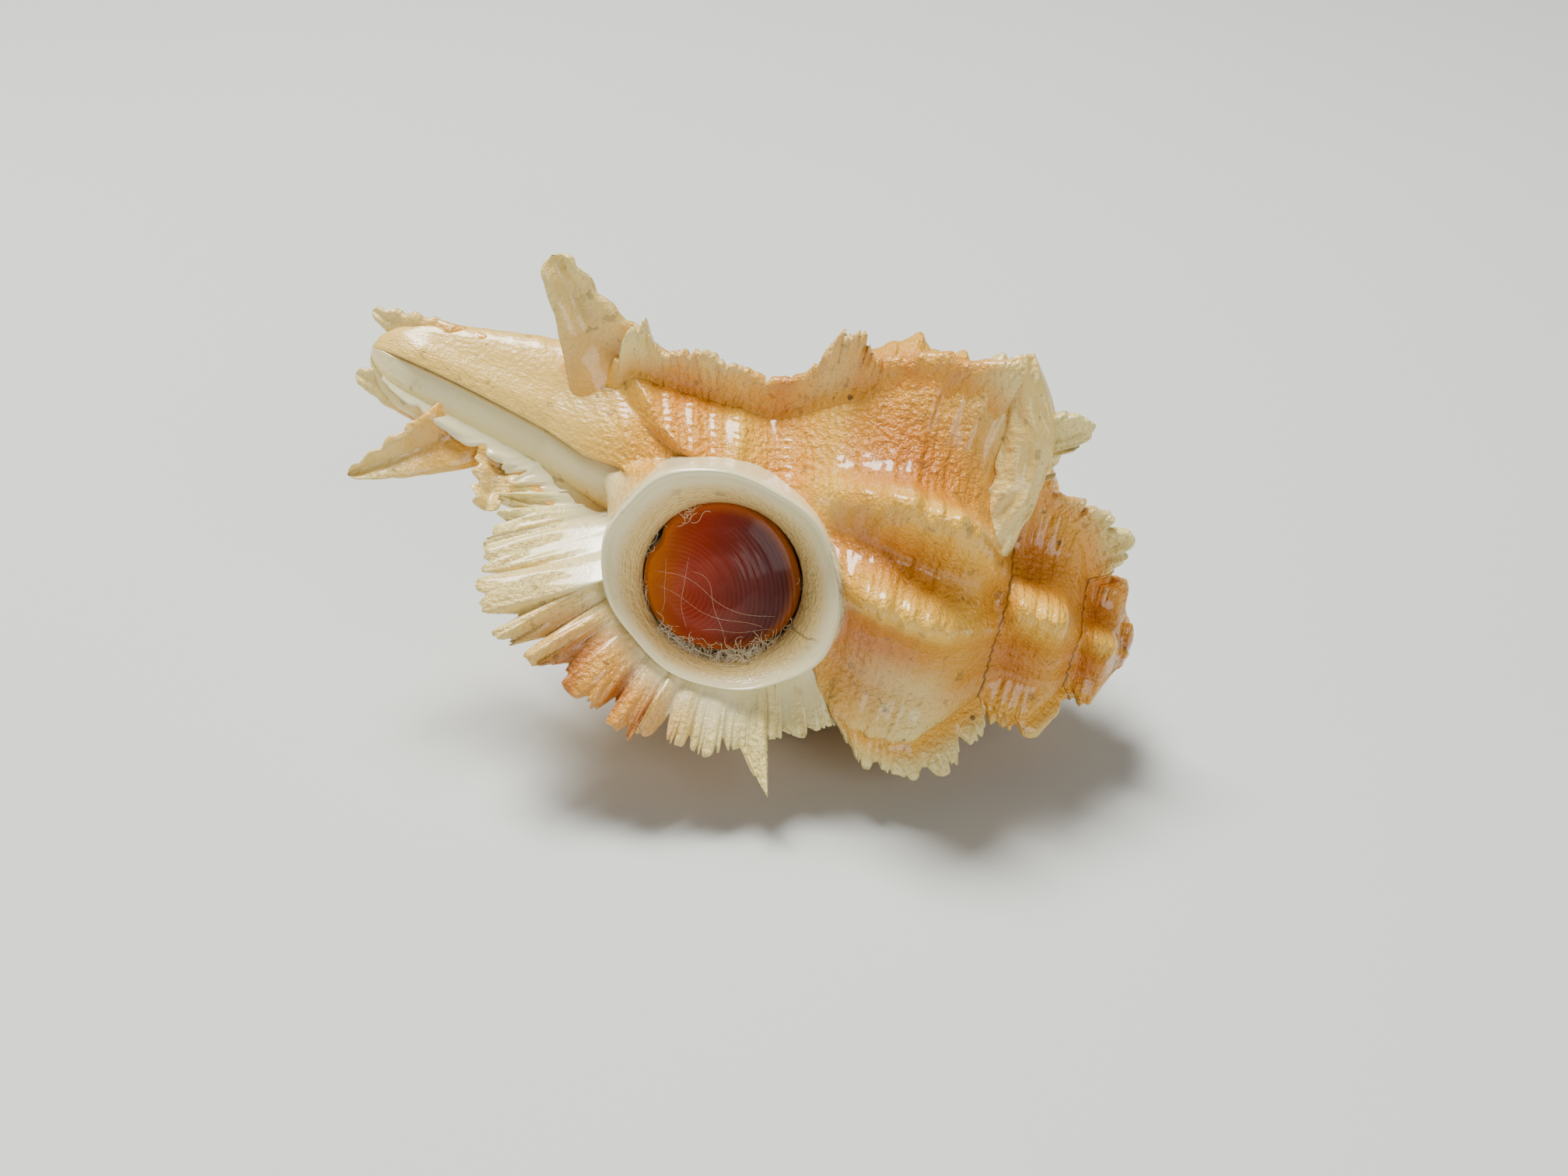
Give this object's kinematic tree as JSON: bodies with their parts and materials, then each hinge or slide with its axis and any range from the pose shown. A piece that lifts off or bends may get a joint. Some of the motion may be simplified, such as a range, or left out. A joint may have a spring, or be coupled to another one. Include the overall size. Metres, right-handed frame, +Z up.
{
  "type": "murex shell",
  "caption": "Small three-varixed murex shell lying on its dorsal side, aperture up and forward, closed by its horny operculum.",
  "frame": {"origin": "centre of the bounding box on the plane the shell rests on", "axes": "+Z up; +X towards the apex end along the shell's length; the aperture faces -Y and up"},
  "size_m": [0.0304, 0.0182, 0.0186],
  "materials": {
    "shell": "satin",
    "horn": "gloss",
    "cotton": "matte"
  },
  "bodies": {
    "root": {"shell": "shell", "operculum": "horn", "cotton_wad": "cotton"}
  },
  "joints": []
}
